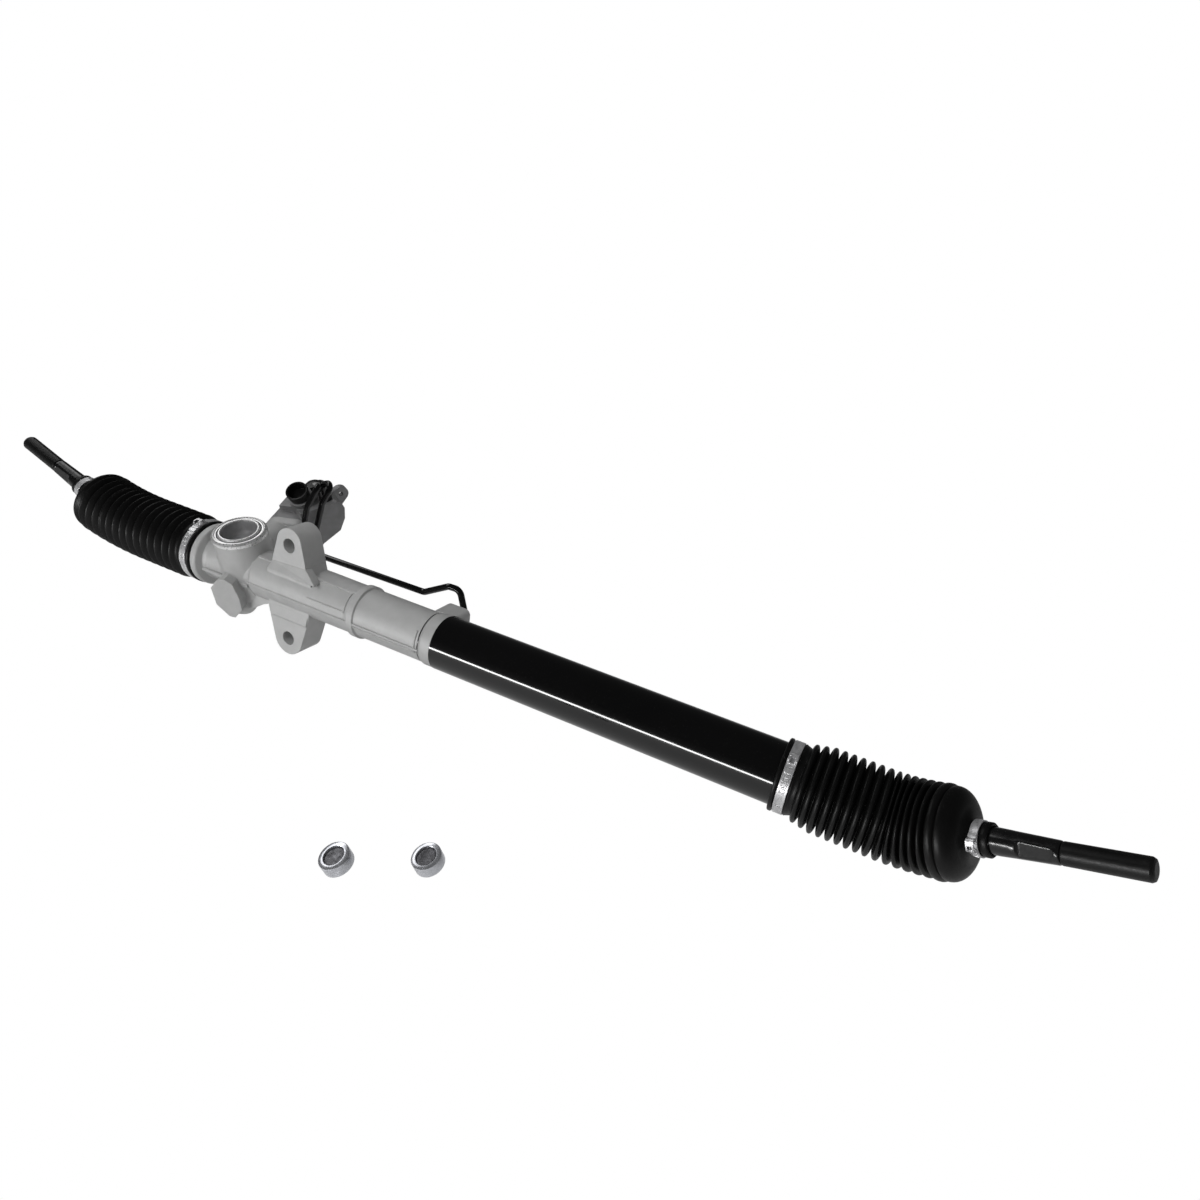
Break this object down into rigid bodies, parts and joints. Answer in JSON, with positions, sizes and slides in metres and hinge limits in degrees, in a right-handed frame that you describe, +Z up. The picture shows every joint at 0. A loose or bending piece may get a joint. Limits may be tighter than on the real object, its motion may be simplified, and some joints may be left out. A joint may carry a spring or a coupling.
{
  "type": "steering rack",
  "caption": "Hydraulic rack-and-pinion steering gear with cast housing, black cylinder tube, bellows boots, tie rods, transfer pipes and loose ring nuts.",
  "frame": {"origin": "on the rack axis, midway between the two mounting holes of the cast housing", "axes": "+X along the rack from the pinion end to the tube end, +Z up through the upper mounting ear, -Y towards the side the mounting bolts enter from"},
  "size_m": [1.1236, 0.402, 0.1424],
  "materials": {
    "cast_aluminium": "sand-cast, bead-blasted grey",
    "valve_casting": "darker die-cast",
    "machined": "turned bright",
    "black_paint": "gloss black enamel",
    "steel": "ground steel",
    "black_steel": "black oxide",
    "boot_rubber": "matt black moulded",
    "black_plastic": "moulded",
    "band_steel": "bright strap",
    "chrome": "bright plated",
    "seal": "oil seal",
    "bronze": "bearing metal"
  },
  "bodies": {
    "housing": {"gear_housing": "cast_aluminium", "cylinder_tube": "black_paint", "inner_cylinder": "steel", "inner_rack_seal": "seal", "outer_rack_bushing": "bronze", "rack_guide": "steel", "yoke_spring": "steel", "yoke_plug": "machined", "yoke_lock_ring": "machined", "pinion_lower_bearing": "steel", "pinion_upper_bearing": "steel", "valve_housing": "valve_casting", "valve_screws": "black_steel", "input_seal": "seal", "dust_cover": "boot_rubber", "long_pipe": "black_paint", "short_pipe": "black_paint", "flare_nuts": "black_steel", "left_boot": "boot_rubber", "right_boot": "boot_rubber", "left_band_clamp": "band_steel", "right_band_clamp": "band_steel"},
    "port_plug": {"port_cap": "black_plastic"},
    "rack": {"rack_bar": "steel", "piston": "steel", "piston_ring": "seal", "lock_washers": "steel", "left_ball_socket": "black_steel", "right_ball_socket": "black_steel"},
    "pinion": {"pinion_shaft": "steel", "valve_sleeve": "steel"},
    "input": {"input_shaft": "steel"},
    "left_seat": {"left_ball_seat": "bronze"},
    "right_seat": {"right_ball_seat": "bronze"},
    "left_rod": {"left_tie_rod": "black_paint", "left_rod_clip": "band_steel"},
    "right_rod": {"right_tie_rod": "black_paint", "right_rod_clip": "band_steel"},
    "left_cap": {"left_rod_cap": "black_plastic"},
    "right_cap": {"right_rod_cap": "black_plastic"},
    "nut_a": {"loose_nut_a": "chrome"},
    "nut_b": {"loose_nut_b": "chrome"}
  },
  "joints": [
    {"name": "rack_slide", "type": "slide", "parent": "housing", "child": "rack", "axis": [1, 0, 0], "range_m": [-0.05, 0.09], "deforming": ["left_boot", "right_boot"]},
    {"name": "pinion_spin", "type": "hinge", "parent": "housing", "child": "pinion", "pos_m": [-0.0833, 0.005, -0.01625], "axis": [-0.314, 0.9075, 0.2792], "range_deg": [-412, 740]},
    {"name": "torsion_bar_twist", "type": "hinge", "parent": "pinion", "child": "input", "pos_m": [-0.12726, 0.13204, 0.02284], "axis": [-0.314, 0.9075, 0.2792], "range_deg": [-6, 6], "stiffness_Nm_per_rad": 80},
    {"name": "left_rod_swing", "type": "hinge", "parent": "rack", "child": "left_seat", "pos_m": [-0.2634, 0, 0], "axis": [0, 0, 1], "range_deg": [-23, 23]},
    {"name": "left_rod_lift", "type": "hinge", "parent": "left_seat", "child": "left_rod", "pos_m": [-0.2634, 0, 0], "axis": [-0.0132, 0.9999, 0], "range_deg": [-42, 6]},
    {"name": "right_rod_swing", "type": "hinge", "parent": "rack", "child": "right_seat", "pos_m": [0.5864, 0, 0], "axis": [0, 0, 1], "range_deg": [-1, 46]},
    {"name": "right_rod_lift", "type": "hinge", "parent": "right_seat", "child": "right_rod", "pos_m": [0.5864, 0, 0], "axis": [-0.3848, -0.923, 0], "range_deg": [-49, 1]},
    {"name": "left_cap_off", "type": "slide", "parent": "left_rod", "child": "left_cap", "axis": [-0.948, -0.0125, 0.318], "range_m": [0, 0.06]},
    {"name": "right_cap_off", "type": "slide", "parent": "right_rod", "child": "right_cap", "axis": [0.8321, -0.3469, 0.4327], "range_m": [0, 0.06]},
    {"name": "port_plug_off", "type": "slide", "parent": "housing", "child": "port_plug", "axis": [0.1327, -0.65, 0.7483], "range_m": [0, 0.03]},
    {"name": "nut_a_lift", "type": "slide", "parent": "housing", "child": "nut_a", "axis": [0, 0, 1], "range_m": [0, 0.1]},
    {"name": "nut_b_lift", "type": "slide", "parent": "housing", "child": "nut_b", "axis": [0, 0, 1], "range_m": [0, 0.1]}
  ],
  "couplings": [
    {"joint": "pinion_spin", "follows": "rack_slide", "rad_per_m": 142.86}
  ]
}
